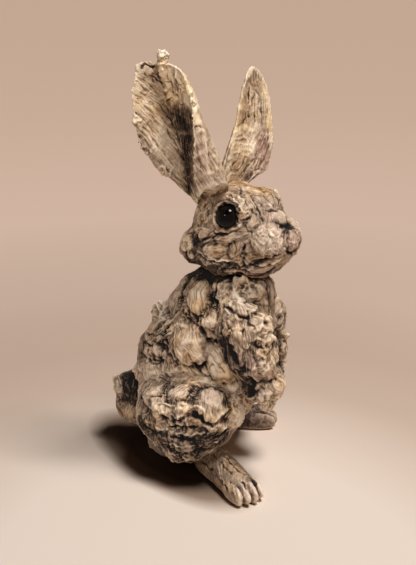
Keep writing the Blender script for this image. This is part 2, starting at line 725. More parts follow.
# What the photograph shows of each casting, in its pixels
# Flaps: how proud in mm, outline
FLAPS = {
    "right_ear": [
        (2.6, [(158.5, 66), (164, 66), (168, 72), (171, 80), (174, 92), (175.5, 103), (173, 108),
          (170, 102), (168.5, 95), (166.5, 99), (164.5, 90), (165, 83), (161.5, 80), (159.5, 73)]),
        (2.2, [(167, 67), (174, 69), (181, 75), (188, 82), (193, 90), (197, 101), (201, 113), (202, 124),
          (198, 127), (196, 118), (193.5, 108), (190, 111), (187, 105), (184, 99), (181, 107),
          (177.5, 100), (178, 92), (182, 88), (177, 84), (173, 86), (170.5, 77)]),
        (1, [(135, 73), (136, 64), (141, 61), (149, 61), (154, 64.5), (156, 71), (150, 75), (142, 77)]),
        (1.4, [(158.5, 68), (159, 57), (161, 51.5), (165, 50), (169, 54), (170, 60), (171, 70), (166, 75),
          (160, 73)]),
        (0.8, [(134, 104), (141, 98), (150, 108), (147, 124), (140, 131), (133.4, 124)]),
        (0.8, [(135, 73), (142, 72), (145, 86), (140, 95), (135.2, 92), (136.2, 82)]),
        (0.9, [(141, 139), (150, 136), (158, 150), (160, 164), (155, 168), (150, 159), (144, 147)]),
        (0.8, [(156, 167), (166, 163), (176, 172), (184, 184), (190, 193), (180, 186), (170, 178)]),
    ],
    "left_ear": [
        (0.6, [(250, 68), (254, 66), (257, 67), (262, 73), (258, 84), (250, 86), (246, 78)]),
        (1.6, [(252, 171), (259, 169), (262, 175), (260, 181), (253, 180)]),
        (1.2, [(262, 84), (267, 95), (271, 114), (272.5, 134), (270, 150), (266, 140), (265, 115),
          (261, 96)]),
        (1.2, [(229, 144), (236, 128), (246, 124), (254, 132), (256, 146), (248, 160), (236, 164),
          (226, 160)]),
    ],
    "head": [
        (1.8, [(181, 243), (183, 238), (188, 236.5), (191.5, 240), (192, 247), (189, 252), (184, 250)]),
        (1.3, [(185, 233), (190, 229), (198, 228), (207, 230), (214, 233), (208, 237), (199, 236),
          (192, 238)]),
        (1, [(269, 203), (270, 193), (275, 189), (279, 194), (282, 202), (276, 206)]),
    ],
    "torso": [
        (3.4, [(217, 298), (219, 287), (226, 281), (240, 279), (254, 282), (264, 290), (258, 300),
          (244, 296), (230, 298), (224, 306)]),
        (2, [(152, 312), (155, 305), (160, 307), (163, 314), (158, 321), (152, 319)]),
        (1.6, [(143, 334), (150, 330), (156, 334), (152, 339), (145, 340)]),
        (1.8, [(142, 362), (148, 360), (154, 364), (153, 369), (146, 368)]),
    ],
    "right_haunch": [
        (2.2, [(150, 412), (154, 406), (162, 405), (170, 407), (174, 411), (170, 416), (166, 413),
          (160, 415), (155, 419)]),
        (2.2, [(171, 409), (178, 406), (188, 406), (197, 408), (202, 413), (196, 415), (190, 411),
          (182, 410), (175, 413)]),
        (1.9, [(204, 418), (209, 413), (216, 414), (221, 419), (221, 428), (215, 433), (208, 431),
          (213, 426), (211, 420)]),
        (1.4, [(196, 443), (202, 438), (209, 441), (207, 448), (200, 449)]),
        (1.4, [(228, 398), (234, 394), (239, 402), (241, 412), (236, 418), (231, 410)]),
    ],
    "right_foreleg": [
        (1.6, [(228, 330), (233, 325), (240, 327), (243, 333), (239, 340), (232, 338)]),
        (1.8, [(258, 337), (264, 333), (272, 335), (278, 340), (274, 344), (266, 342), (261, 345)]),
        (1.6, [(252, 370), (256, 363), (263, 361), (271, 364), (270, 372), (264, 377), (257, 375)]),
    ],
    "tail": [
        (1.6, [(112, 378), (115, 373.5), (119, 377), (119, 388), (115, 393), (112.5, 388)]),
        (1.8, [(123, 408), (129, 404), (135, 408), (134, 417), (127, 421), (123, 416)]),
    ],
}
# Locks: middle, the way the tip points, length, width, rise in mm, flap or lobe, paint
LOCKS = {
    "torso": [
        (176, 300, -0.5, 0.85, 36, 22, 1.8, 0.4, -0.06), (198, 294, -0.1, 1, 38, 30, 3.4, 0.3, -0.02),
        (208, 320, 0.12, 1, 42, 24, 2.6, 0.6, -0.04), (152, 328, -0.8, 0.6, 30, 20, 1.8, 0.5, 0),
        (187, 346, 0.25, 0.95, 48, 44, 4.2, 0.45, 0.06), (221, 365, 0.5, 0.85, 50, 34, 4.6, 0.3, 0.14),
        (240, 386, 0.4, 0.9, 24, 18, 1.6, 0.6, 0.06), (272, 292, 0.2, 1, 30, 10, 1.6, 0.4, 0),
        (156, 352, -0.3, 0.95, 24, 22, 1.8, 0.7, -0.08),
    ],
    "right_haunch": [
        (152, 384, -0.3, 0.95, 30, 28, 1.2, 0.5, -0.02), (176, 389, -0.7, 0.5, 34, 24, 1, 0.6, -0.02),
        (202, 380, 0.8, 0.3, 36, 14, 1.8, 0.4, 0.08), (210, 402, 0.1, 0.9, 40, 36, 2, 0.2, -0.04),
        (158, 402, -0.2, 1, 20, 26, 1.4, 0.7, 0), (178, 420, 0.3, 0.9, 14, 16, 1.4, 0.3, -0.05),
    ],
    "right_foreleg": [
        (240, 298, 0.3, 0.9, 42, 38, 2.6, 0.5, 0.06), (262, 352, 0.2, 1, 30, 18, 1.6, 0.5, 0.02),
        (267, 396, 0.1, 1, 24, 20, 1.8, 0.3, 0.1),
    ],
    "head": [
        (212, 192, -0.6, -0.6, 26, 12, 1, 0.5, 0.02), (232, 188, -0.9, -0.2, 34, 12, 1, 0.5, 0.04),
        (254, 190, -0.9, -0.3, 30, 14, 1, 0.5, 0.04), (264, 202, -0.8, -0.4, 26, 12, 0.9, 0.5, 0),
        (205, 212, -0.6, 0.5, 20, 14, 1, 0.6, 0), (187, 238, -0.8, 0.5, 12, 9, 2, 0.7, 0.2),
        (184, 246, -0.4, 0.9, 12, 9, 2, 0.7, 0.16), (190, 254, 0.1, 1, 12, 9, 1.6, 0.7, -0.1),
        (207, 230, -0.9, 0.3, 30, 12, 1.4, 0.5, 0.03), (228, 238, -0.9, 0.2, 34, 14, 1.4, 0.5, 0.02),
        (216, 250, -0.9, 0.2, 36, 18, 2.4, 0.5, 0), (236, 250, -0.5, 0.8, 24, 16, 1.6, 0.4, 0),
        (246, 212, -0.5, 0.8, 22, 14, 1.2, 0.5, 0), (254, 220, -0.3, 0.9, 22, 12, 1.2, 0.5, 0),
        (266, 237, -0.5, 0.7, 36, 28, 1.4, 0.2, 0.12), (280, 217, 0.6, 0.4, 24, 16, 1.2, 0.3, 0.08),
        (293, 237, 0.1, 1, 30, 14, 2, 0.2, 0), (268, 262, -0.9, 0.3, 32, 9, 1.6, 0.2, 0.04),
        (262, 270, -0.9, 0.3, 34, 10, 1.4, 0.2, -0.04), (236, 270, -0.9, 0.1, 26, 10, 1.4, 0.4, -0.06),
    ],
}
# Ridges and creases: width in mm, rise in mm, paint, points
LINES = {
    "torso": [
        (2.6, -4.2, -0.5, [(216, 330), (224, 343), (233, 356), (244, 371), (250, 386), (248, 398)]),
        (1.6, -2.2, -0.24, [(184, 284), (182, 298), (186, 314), (196, 320)]),
        (1.6, -2.4, -0.26, [(219, 283), (215, 296), (217, 312), (222, 328)]),
        (1.6, -2.2, -0.24, [(196, 320), (202, 330), (212, 340), (222, 342)]),
        (1.8, -3, -0.3, [(190, 356), (196, 364), (200, 372), (212, 380), (224, 386)]),
        (1.6, -1.8, -0.2, [(166, 326), (164, 340), (168, 354), (176, 364)]),
        (1.2, 1.4, 0.22, [(170, 328), (176, 324), (186, 326)]),
        (1.2, -2, -0.34, [(146, 332), (156, 336), (166, 334)]),
        (1.2, -2, -0.34, [(142, 342), (152, 345), (162, 343)]),
        (1.3, -1.8, -0.26, [(140, 354), (150, 357), (162, 360)]),
        (1.2, -1.2, -0.2, [(166, 318), (162, 326), (158, 332)]),
        (0.8, -1, -0.12, [(206, 350), (214, 358), (224, 370), (230, 380)]),
        (0.8, -1, -0.12, [(202, 362), (212, 372), (220, 384)]),
        (0.8, -1, -0.12, [(214, 348), (224, 358), (234, 372), (240, 384)]),
        (0.7, -0.8, -0.2, [(208, 370), (214, 364), (220, 362)]),
        (1.2, 1.4, 0.16, [(219, 287), (224, 281), (236, 279.5), (250, 281), (260, 287)]),
        (0.9, -1.6, -0.3, [(230, 286), (236, 289), (244, 287), (252, 291)]),
        (0.9, -1.4, -0.26, [(226, 293), (235, 296), (244, 294)]),
        (0.8, -1.2, -0.24, [(246, 283), (252, 286), (258, 292)]),
        (0.9, -1.3, -0.26, [(266, 282), (268, 292), (267, 304)]),
        (0.9, -1.3, -0.26, [(273, 282), (276, 292), (276, 304)]),
    ],
    "right_haunch": [
        (1.2, -1.6, -0.2, [(184, 376), (196, 372), (210, 376), (224, 384), (233, 394)]),
        (1, -1.6, -0.2, [(166, 380), (174, 378), (184, 381), (191, 390), (188, 400), (176, 401)]),
        (1.2, -1.2, -0.14, [(190, 388), (202, 386), (216, 388), (228, 396), (232, 410), (226, 420)]),
        (1.2, -1.4, -0.18, [(142, 392), (152, 396), (166, 396)]),
        (1, 1.6, 0.26, [(150, 407), (158, 403), (170, 405), (182, 403), (196, 406), (206, 412)]),
        (1.8, -3.2, -0.4, [(160, 420), (168, 417), (176, 418), (186, 415), (196, 416), (204, 420)]),
        (1.2, -1.8, -0.34, [(172, 426), (180, 424), (186, 428)]),
        (1.3, -2, -0.34, [(188, 426), (196, 425), (203, 428)]),
        (0.9, -1.8, -0.4, [(209, 421), (213, 426), (219, 429)]),
        (0.9, 1.4, 0.2, [(146, 420), (158, 427), (170, 431), (186, 434), (204, 433), (226, 427)]),
        (1.6, -2.2, -0.28, [(144, 426), (158, 433), (172, 437), (190, 439), (206, 438), (226, 432)]),
        (0.8, 1.2, 0.18, [(150, 436), (162, 441), (180, 445), (198, 446), (218, 441)]),
        (1.3, -1.8, -0.26, [(154, 442), (168, 448), (186, 452), (206, 450), (220, 444)]),
        (0.8, 0.9, 0.12, [(168, 452), (184, 457), (200, 457)]),
        (1.6, -1.6, -0.2, [(180, 437), (192, 440)]),
        (0.9, 1.2, 0.2, [(228, 392), (236, 400), (240, 412), (236, 420)]),
    ],
    "right_foreleg": [
        (2.4, -3.4, -0.6, [(220, 332), (229, 347), (241, 364), (252, 382), (249, 396)]),
        (1.3, -2.4, -0.34, [(220, 296), (224, 306), (234, 312), (246, 318), (254, 328)]),
        (1, -1.2, -0.18, [(226, 290), (236, 292), (246, 290)]),
        (1, -1.2, -0.18, [(232, 300), (242, 303), (252, 300), (260, 304)]),
        (1, -1.4, -0.22, [(246, 310), (256, 312), (264, 318)]),
        (1.2, -1.6, -0.24, [(226, 322), (230, 332), (226, 340)]),
        (1.6, -2.2, -0.3, [(244, 330), (250, 340), (258, 346)]),
        (1.2, -1.8, -0.32, [(258, 346), (266, 346), (276, 345)]),
        (1.4, -2, -0.34, [(250, 378), (256, 382), (266, 381), (274, 378)]),
        (0.7, -1.2, -0.3, [(266, 386), (268, 398)]),
        (0.7, -1.2, -0.3, [(259, 392), (266, 397), (260, 403)]),
        (0.7, -1.2, -0.3, [(275, 391), (268, 397), (274, 404)]),
        (0.7, -1, -0.26, [(262, 387), (266, 397), (270, 407)]),
        (0.8, -1.2, -0.28, [(256, 366), (262, 370), (268, 367)]),
    ],
    "head": [
        (0.8, -1.2, -0.4, [(182, 243), (187, 246), (190, 252)]),
        (0.8, -1.2, -0.4, [(181, 249), (185, 252), (188, 258)]),
        (0.7, 0.8, 0.25, [(184, 238), (189, 240), (191, 244)]),
        (1.5, -2.2, -0.6, [(277, 221.5), (284, 225.5), (288.5, 228), (291, 225)]),
        (2.4, -1.8, -0.5, [(282, 225.5), (288, 226.5)]),
        (1.2, -1.4, -0.18, [(286, 229), (284.6, 237), (284.8, 245), (288.5, 252)]),
        (1.1, -2.4, -0.55, [(292, 253.5), (285, 250), (279, 256), (270, 259), (261, 261), (250, 265.5),
          (243, 266)]),
        (1.2, -1.8, -0.34, [(244.3, 246), (245, 254), (243.6, 264)]),
        (0.8, 1.5, 0.3, [(198, 250.5), (202, 255.7), (210, 258.6), (220, 260), (233, 260.2)]),
        (1.4, -2.2, -0.3, [(200, 255), (206, 260.5), (216, 262.5), (236, 263)]),
        (0.7, 0.9, 0.18, [(202, 262), (208, 264.5), (213, 263)]),
        (2, -1.8, -0.3, [(194, 263), (205, 272), (229, 277), (260, 276), (273, 270)]),
        (0.9, -1.7, -0.34, [(203, 239.3), (211.5, 238), (220, 235), (227, 233.6)]),
        (0.7, 1, 0.26, [(226.4, 196.5), (233, 199), (238.8, 204.8), (242, 211.5)]),
        (0.7, 0.8, 0.18, [(220, 194.6), (227, 192.2), (235, 195), (242.5, 200.5)]),
        (0.7, -1, -0.3, [(222, 197), (230, 195.5), (237, 200), (241, 206)]),
        (0.7, 0.7, 0.24, [(213.5, 214), (214, 221), (218, 227.5), (225, 231.5), (234.5, 229.4),
          (241, 223)]),
        (0.9, -1.2, -0.24, [(214, 233), (224, 234), (236, 231), (244, 226)]),
        (0.9, -1.4, -0.34, [(237.5, 218), (244.5, 219.5), (250, 218)]),
        (0.8, -1.2, -0.28, [(244.3, 194), (245.8, 202), (250, 208), (256, 214)]),
        (0.8, -0.9, -0.24, [(239.5, 188), (241.5, 194)]),
        (0.8, -1.1, -0.24, [(253, 200), (257, 208), (261.5, 215), (263, 220)]),
        (1.1, -1.5, -0.36, [(268.5, 212), (275.5, 210), (283, 209)]),
        (0.9, 0, -0.55, [(229, 202), (222.5, 203.6), (218, 208.5), (215.8, 215), (215.6, 221),
          (218, 226.5), (223, 229), (229, 228), (234, 223.5), (237.5, 216), (237.6, 208.5), (234, 203.6),
          (229, 202)]),
        (1.2, -1.6, -0.34, [(224, 183.6), (233, 179.5), (244, 176), (256, 177)]),
        (0.8, -1, -0.24, [(219, 190), (227, 186.5), (236, 186)]),
        (0.9, -1.3, -0.28, [(204, 204), (208, 210), (206, 218)]),
        (0.8, -1.1, -0.26, [(210, 200), (213, 206), (212, 214)]),
        (0.8, -1.1, -0.24, [(198, 206), (201, 214), (200, 222)]),
        (0.8, 1, 0.18, [(196, 229.5), (203, 227), (211.5, 231), (218.6, 231.4)]),
        (0.8, -1, -0.22, [(208, 246), (216, 244), (226, 246), (232, 243)]),
        (0.7, -0.9, -0.2, [(212, 252), (222, 253), (230, 250)]),
        (0.8, -1, -0.22, [(234, 242), (238, 250), (236, 256)]),
        (0.8, -0.9, -0.22, [(268.6, 231), (270, 237)]),
        (0.7, -0.8, -0.18, [(262, 240), (266, 246)]),
        (0.7, -0.8, -0.16, [(274, 232), (277, 239), (275, 246)]),
        (0.7, -0.8, -0.16, [(256, 232), (259, 240), (262, 248)]),
        (0.5, 0.6, 0.2, [(288.6, 241), (293, 243)]),
        (0.5, 0.6, 0.2, [(288.4, 244.5), (292.6, 246.5)]),
        (0.9, 1.2, 0.28, [(250, 268), (261.4, 266), (270, 263), (281, 258.5)]),
        (0.7, 0.8, 0.16, [(231, 272), (241.5, 268), (251, 270)]),
        (0.7, 0.5, 0.12, [(282, 201), (287, 207), (291, 214)]),
    ],
    "left_ear": [
        (0.7, -1.2, -0.36, [(249.5, 88), (248.5, 102), (248.5, 116)]),
        (0.6, -1.1, -0.32, [(253.5, 90), (252, 106)]),
        (0.7, -1.2, -0.34, [(257, 90), (260, 98), (258.5, 108)]),
        (0.7, -1, -0.3, [(259.5, 110), (261, 124)]),
        (0.6, -0.9, -0.26, [(254, 112), (254.5, 124)]),
        (0.6, -0.8, -0.22, [(246, 112), (244, 122), (240, 128)]),
        (0.8, -1, -0.26, [(257, 152), (251, 164), (243, 172)]),
        (0.6, -0.8, -0.18, [(264, 132), (263, 146), (257, 158), (252, 168)]),
        (0.6, -0.8, -0.18, [(268, 130), (268, 148), (262, 162)]),
        (0.7, -0.8, -0.22, [(264, 160), (258, 168), (252, 172)]),
        (0.9, -0.9, -0.24, [(224, 168), (228, 156), (231, 146)]),
        (0.7, -0.8, -0.16, [(232, 168), (238, 160), (246, 158)]),
    ],
    "right_ear": [
        (1.2, 1.3, 0.3, [(163, 68), (167, 78), (169, 90), (170, 99)]),
        (1.2, 1.3, 0.3, [(169, 69), (174, 80), (176, 92), (176, 100)]),
        (1.2, 1.3, 0.3, [(177, 73), (183, 84), (186, 96), (187, 106)]),
        (1.2, 1, 0.25, [(185, 81), (191, 93), (195, 106), (197, 120)]),
        (0.9, -1.8, -0.5, [(166, 72), (171, 84), (173, 96)]),
        (0.9, -1.8, -0.5, [(174, 74), (179, 86), (182, 100)]),
        (0.9, -1.8, -0.4, [(182, 82), (188, 92), (191, 104)]),
        (0.9, -1.6, -0.45, [(140, 66.4), (146, 65.4), (152, 66.8)]),
        (0.6, -0.9, -0.36, [(145, 74), (152, 79), (159, 86), (165, 94)]),
        (0.6, -0.9, -0.36, [(149, 73), (156, 78), (163, 87)]),
        (0.6, -0.8, -0.3, [(143, 79), (150, 85), (158, 94), (164, 102)]),
        (0.6, -0.9, -0.36, [(154, 73), (160, 79), (165, 86)]),
        (0.6, -0.7, -0.24, [(141, 86), (149, 93), (156, 101), (163, 110)]),
        (0.6, -0.8, -0.24, [(137, 98), (146, 107), (155, 117)]),
        (0.6, -0.8, -0.24, [(136, 112), (145, 121), (153, 132)]),
        (0.6, -0.7, -0.2, [(139, 122), (149, 132), (158, 146)]),
        (0.6, -0.7, -0.2, [(160, 100), (166, 112), (174, 126), (180, 140)]),
        (0.6, -0.7, -0.18, [(154, 140), (164, 152), (174, 166), (182, 180)]),
        (0.6, -0.7, -0.18, [(166, 128), (176, 144), (183, 160)]),
        (1, -1.6, -0.4, [(172.5, 78), (177, 86), (176, 92)]),
        (0.9, -1.4, -0.36, [(177, 97), (181, 104)]),
        (0.8, -1.2, -0.32, [(186, 92), (190, 100), (192, 107)]),
        (0.7, -0.9, -0.26, [(194, 127), (199, 126.5), (203, 128)]),
        (0.7, -0.5, -0.1, [(200, 132), (205, 150), (212, 172)]),
        (0.7, -0.5, -0.1, [(196, 140), (199, 160), (203, 182)]),
        (0.7, -0.5, -0.1, [(204, 142), (210, 158), (217, 176)]),
    ],
    "right_hind_foot": [
        (1, -1.5, -0.26, [(243, 482), (248, 491), (252, 500), (252.5, 507)]),
        (1, -1.4, -0.26, [(253, 482), (257, 489), (261, 497), (261.5, 502)]),
        (0.9, -0.9, -0.14, [(230, 482), (236, 491), (242, 500), (245, 506)]),
        (0.9, -0.9, -0.22, [(202, 462), (212, 470), (220, 480), (228, 490)]),
        (0.9, -0.9, -0.22, [(212, 454), (222, 464), (231, 474)]),
        (0.7, -0.7, -0.16, [(224, 456), (234, 466), (242, 474)]),
        (0.7, -0.6, -0.12, [(232, 458), (242, 468), (250, 478)]),
    ],
}
# Pits and bosses: middle, radius, rise in mm, paint
KNOBS = {
    "torso": [
        (164, 338, 4, -2.2, -0.35), (146, 346, 4, -1.8, -0.3), (160, 356, 4, -1.6, -0.25),
    ],
    "right_haunch": [
        (175, 419, 4.5, -1.4, -0.2), (194, 416, 5, -2.4, -0.36), (224, 402, 6, -0.8, -0.1),
    ],
    "right_foreleg": [
        (266, 322, 5, -1.8, -0.28), (249, 296, 5, -1.2, -0.16),
    ],
}
# How crumpled the clay is: middle, radius, from 0 smooth to 1
ROUGH = {
    "torso": [
        (240, 288, 20, 1.5), (187, 346, 26, 0), (198, 294, 20, 0), (176, 300, 16, 0), (155, 343, 18, 1),
        (222, 366, 22, 0.1), (208, 324, 12, 0.6), (152, 326, 10, 0.3), (262, 310, 18, 0.6),
    ],
    "right_haunch": [
        (212, 398, 24, 0), (178, 419, 20, 0.8), (208, 430, 18, 0.5), (156, 432, 20, 0.4),
        (236, 406, 10, 0.4), (179, 389, 14, 0), (200, 380, 16, 0), (152, 382, 18, 0.1),
    ],
    "right_foreleg": [
        (240, 298, 24, 0.7), (232, 286, 12, 1.2), (222, 298, 8, 1), (246, 318, 14, 0.3),
        (268, 324, 12, 0.9), (262, 350, 12, 0.7), (240, 354, 16, 0), (262, 370, 10, 1), (267, 396, 14, 0.7),
    ],
    "right_ear": [
        (164, 58, 9, 1), (165, 74, 9, 1), (180, 82, 10, 1), (190, 100, 8, 1), (170, 96, 7, 1),
        (143, 152, 7, 0.9), (160, 174, 9, 0.8), (136, 120, 6, 0.8),
    ],
    "left_ear": [
        (252, 100, 16, 0.3), (242, 146, 14, 0.5), (262, 170, 12, 0.4),
    ],
    "head": [
        (266, 237, 16, 0.5), (293, 238, 10, 0.2), (205, 212, 14, 0.8), (236, 266, 24, 0.6),
        (232, 186, 24, 0), (256, 194, 16, 0.1), (220, 249, 14, 0.1), (280, 216, 10, 0.1), (186, 244, 9, 1),
        (198, 232, 8, 0.9),
    ],
}
# The seam over the haunch, where the clay runs on from the back
SEAM = [
    (137, 388), (146, 373), (164, 369), (200, 369), (216, 372), (229, 379), (237, 390), (226, 392),
    (219, 386), (204, 382), (168, 382), (153, 385), (147, 392),
]
# Areas: softness, paint, warmth, outline, and, in the eye socket, how far the clay is pushed back in mm
AREAS = {
    "right_ear": [
        (7, -0.14, 0, [(165, 92), (163, 112), (168, 126), (177, 140), (181, 155), (184, 176), (189, 197),
          (195, 197), (190.5, 178), (189, 160), (191, 146), (193, 132), (194.5, 116), (190, 109),
          (180, 106), (172, 104)]),
        (5, -0.12, 0, [(167, 104), (166.5, 113), (172, 125), (181, 138), (185, 153), (187.5, 175),
          (191, 193), (193, 193), (189.5, 172), (188.5, 160), (190, 146), (192, 132), (193, 116),
          (189, 110), (180, 108.5), (173, 108)]),
        (5, 0.1, 0.2, [(142, 72), (158, 70), (166, 84), (166, 104), (158, 98), (148, 86)]),
        (2.5, -0.34, -0.2, [(133, 118), (141, 128), (151, 142), (157, 156), (167, 166), (178, 176),
          (190, 188), (190, 202), (168, 194), (148, 178), (138, 160), (130, 138)]),
        (3, 0.22, 0.1, [(160, 66), (176, 68), (190, 80), (200, 104), (203, 124), (197, 124), (190, 110),
          (182, 106), (172, 102), (166, 96), (161, 80)]),
        (5, 0.12, 0, [(190, 186), (228, 180), (230, 210), (190, 210)]),
        (3, -0.2, 0, [(181, 140), (192, 136), (192, 170), (193, 198), (186, 198), (184, 170)]),
        (7, 0.06, -0.4, [(194, 128), (206, 130), (222, 176), (216, 190), (196, 196), (190, 170)]),
        (5, 0.15, 0.05, [(130, 70), (142, 84), (164, 120), (180, 160), (186, 190), (160, 172), (134, 130)]),
        (1.5, 0.2, 0.3, [(158, 50), (172, 50), (172, 66), (176, 100), (168, 100), (160, 76)]),
        (2, 0.12, 0.2, [(176, 70), (190, 84), (202, 112), (204, 130), (196, 128), (188, 104), (178, 84)]),
    ],
    "left_ear": [
        (6, 0, 0.05, [(240, 60), (276, 60), (276, 130), (240, 130)]),
        (6, 0.2, 0, [(247, 84), (262, 84), (267, 130), (263, 172), (250, 178), (248, 120)]),
        (7, 0.16, 0.1, [(228, 128), (254, 124), (258, 150), (240, 166), (222, 166)]),
        (2, 0.1, 0.4, [(262, 84), (274, 110), (276, 150), (268, 150), (264, 110)]),
        (4, -0.1, -0.7, [(260, 128), (276, 134), (264, 182), (242, 184), (254, 160)]),
        (2, -0.2, 0, [(216, 172), (224, 150), (230, 148), (226, 166), (222, 178)]),
    ],
    "head": [
        (2, 0.22, 0, [(251, 232), (258, 224), (270, 222), (281, 230), (284, 242), (279, 250), (262, 252),
          (252, 246)]),
        (2, 0.14, 0, [(269, 213), (280, 211), (291, 216), (291, 223), (282, 221), (272, 222)]),
        (2.5, -0.4, -0.3, [(199, 262), (210, 265), (240, 265), (240, 280), (207, 278), (196, 268)]),
        (2.5, -0.24, -0.5, [(240, 268), (270, 266), (278, 270), (270, 280), (240, 280)]),
        (4, 0.06, 0.2, [(196, 200), (214, 202), (213, 222), (198, 224)]),
        (3, -0.34, 0, [(190, 232), (199, 232), (206, 237), (204, 247), (193, 250)]),
        (3, 0.04, -0.35, [(286, 222), (300, 222), (301, 252), (287, 250)]),
        (1.2, -0.5, 0, [(229.5, 203.2), (224.5, 204), (220, 207.5), (217.3, 212.5), (216.4, 218.5),
          (217.6, 224), (221.2, 227.3), (226, 227.6), (230.6, 225.2), (234.3, 220.6), (236.3, 215),
          (236.5, 209.5), (234, 205)], 3.5),
        (1.2, -0.34, 0, [(214, 206), (220, 199.5), (230, 198.5), (239, 204), (240, 216), (236, 227),
          (226, 231), (217, 230), (213, 218)]),
        (2.5, -0.35, 0, [(182, 252), (196, 250), (200, 264), (188, 268)]),
        (2, 0.24, 0.2, [(178, 240), (184, 234), (191, 236), (191, 246), (186, 251), (180, 248)]),
        (6, 0.08, 0.2, [(190, 192), (225, 190), (228, 202), (196, 212)]),
        (4, 0.16, -0.3, [(194, 184), (228, 180), (232, 197), (200, 204)]),
        (5, -0.04, 0.4, [(215, 180), (265, 180), (275, 200), (240, 200), (215, 196)]),
        (3, 0, 0.4, [(210, 240), (240, 240), (240, 258), (204, 256)]),
    ],
    "torso": [
        (3, 0.26, 0.1, SEAM),
        (3, -0.6, 0, [(184, 262), (280, 264), (280, 280), (240, 278), (216, 283), (200, 280), (186, 279)]),
        (2, -0.28, 0, [(229, 272), (246, 272), (246, 286), (229, 286)]),
        (3, 0.22, 0.1, [(222, 370), (233, 366), (246, 392), (246, 420), (236, 424), (232, 402),
          (224, 388)]),
        (3, -0.32, 0, [(224, 340), (232, 342), (246, 366), (252, 392), (246, 398), (240, 376), (230, 356)]),
        (4, -0.07, 0.4, [(188, 282), (212, 282), (210, 312), (190, 314)]),
        (4, -0.14, 0, [(140, 332), (168, 330), (168, 362), (138, 362)]),
        (2, 0.3, 0.1, [(150, 303), (165, 303), (166, 321), (150, 321)]),
        (3, 0.12, 0.2, [(170, 326), (188, 324), (184, 340), (172, 344)]),
        (3, -0.22, 0, [(188, 354), (200, 354), (206, 372), (192, 374)]),
        (6, 0.52, 0.25, [(204, 344), (226, 344), (242, 372), (232, 388), (206, 372)]),
        (6, 0.18, 0.2, [(168, 326), (204, 326), (206, 362), (178, 368)]),
        (4, 0.08, 0, [(140, 360), (190, 362), (192, 376), (140, 386)]),
        (4, 0.1, 0.2, [(218, 279), (262, 279), (266, 300), (222, 304)]),
    ],
    "right_haunch": [
        (3, 0.26, 0.1, SEAM),
        (3, 0.24, 0.1, [(226, 380), (236, 376), (246, 396), (246, 424), (230, 434), (232, 402)]),
        (8, -0.09, 0, [(130, 370), (240, 366), (244, 470), (140, 470)]),
        (8, -0.28, -0.1, [(134, 418), (150, 426), (170, 434), (236, 432), (220, 470), (170, 470),
          (140, 448)]),
        (4, -0.22, 0, [(134, 418), (150, 424), (156, 440), (140, 440)]),
        (9, -0.2, -0.2, [(194, 388), (222, 386), (230, 402), (224, 418), (198, 412)]),
        (3, 0.08, 0.1, [(184, 374), (214, 372), (228, 386), (206, 388), (188, 386)]),
        (3, 0.12, 0, [(150, 404), (200, 402), (204, 412), (186, 412), (152, 418)]),
        (5, 0.08, 0, [(148, 404), (204, 404), (210, 432), (160, 432)]),
        (4, 0.16, 0.2, [(212, 404), (232, 398), (234, 428), (208, 434)]),
    ],
    "right_foreleg": [
        (4, 0.13, 0.1, [(218, 280), (262, 280), (270, 306), (240, 314), (220, 304)]),
        (2, -0.3, 0, [(224, 272), (258, 272), (258, 281), (226, 284)]),
        (8, -0.14, -0.45, [(228, 342), (250, 344), (262, 376), (248, 380), (230, 356)]),
        (3, -0.34, 0, [(212, 326), (226, 336), (243, 366), (257, 394), (246, 398), (232, 376), (216, 350)]),
        (2, 0.12, 0, [(252, 360), (272, 360), (272, 378), (254, 378)]),
        (6, 0.12, 0.1, [(228, 310), (284, 310), (284, 385), (244, 385)]),
        (2, 0.28, 0, [(256, 384), (278, 384), (278, 410), (256, 410)]),
    ],
    "right_hind_foot": [
        (8, -0.09, 0.2, [(190, 440), (230, 440), (250, 470), (236, 500), (200, 480)]),
        (6, 0, -0.3, [(236, 476), (270, 476), (270, 512), (240, 512)]),
    ],
    "left_hind_foot": [
        (3, -0.22, -0.4, [(220, 380), (300, 380), (300, 450), (220, 450)]),
    ],
    "left_foreleg": [
        (2, -0.12, 0, [(272, 300), (300, 300), (300, 410), (272, 410)]),
    ],
    "tail": [
        (3, 0.22, 0, [(108, 368), (121, 368), (120, 396), (108, 396)]),
        (3, 0.22, 0, [(120, 402), (135, 402), (135, 420), (120, 420)]),
        (3, -0.36, 0, [(122, 372), (142, 366), (142, 404), (124, 400)]),
        (5, -0.28, 0, [(104, 364), (144, 360), (144, 424), (104, 424)]),
    ],
}
# The way that the grain runs over part of a casting: direction, outline
GRAINS = {
    "right_ear": [
        ((0.68, 0.74), [(130, 55), (168, 66), (170, 90), (166, 104), (130, 104)]),
        ((0.56, 0.83), [(126, 104), (166, 104), (172, 126), (182, 150), (188, 196), (150, 170),
          (128, 130)]),
        ((0.32, 0.95), [(168, 60), (190, 75), (215, 140), (228, 185), (190, 200), (186, 160), (196, 130)]),
    ],
    "left_ear": [
        ((-0.06, 1), [(240, 60), (280, 80), (276, 132), (236, 132), (236, 90)]),
        ((-0.42, 0.9), [(236, 132), (276, 132), (262, 185), (215, 185), (225, 150)]),
    ],
    "right_hind_foot": [
        ((0.62, 0.78), [(190, 430), (280, 430), (280, 520), (190, 520)]),
    ],
    "head": [
        ((-0.93, -0.25), [(180, 175), (300, 175), (300, 200), (242, 200), (216, 196), (180, 200)]),
        ((-0.5, 0.85), [(180, 200), (216, 196), (216, 228), (180, 232)]),
        ((0.4, 0.9), [(242, 200), (300, 200), (300, 222), (250, 232), (242, 222)]),
        ((-0.95, 0.2), [(180, 228), (250, 228), (250, 262), (180, 262)]),
        ((0.15, 1), [(250, 222), (286, 222), (286, 252), (250, 252)]),
        ((0.1, 1), [(286, 220), (302, 220), (302, 254), (286, 254)]),
        ((-0.95, 0.25), [(180, 262), (300, 252), (300, 290), (180, 290)]),
    ],
}


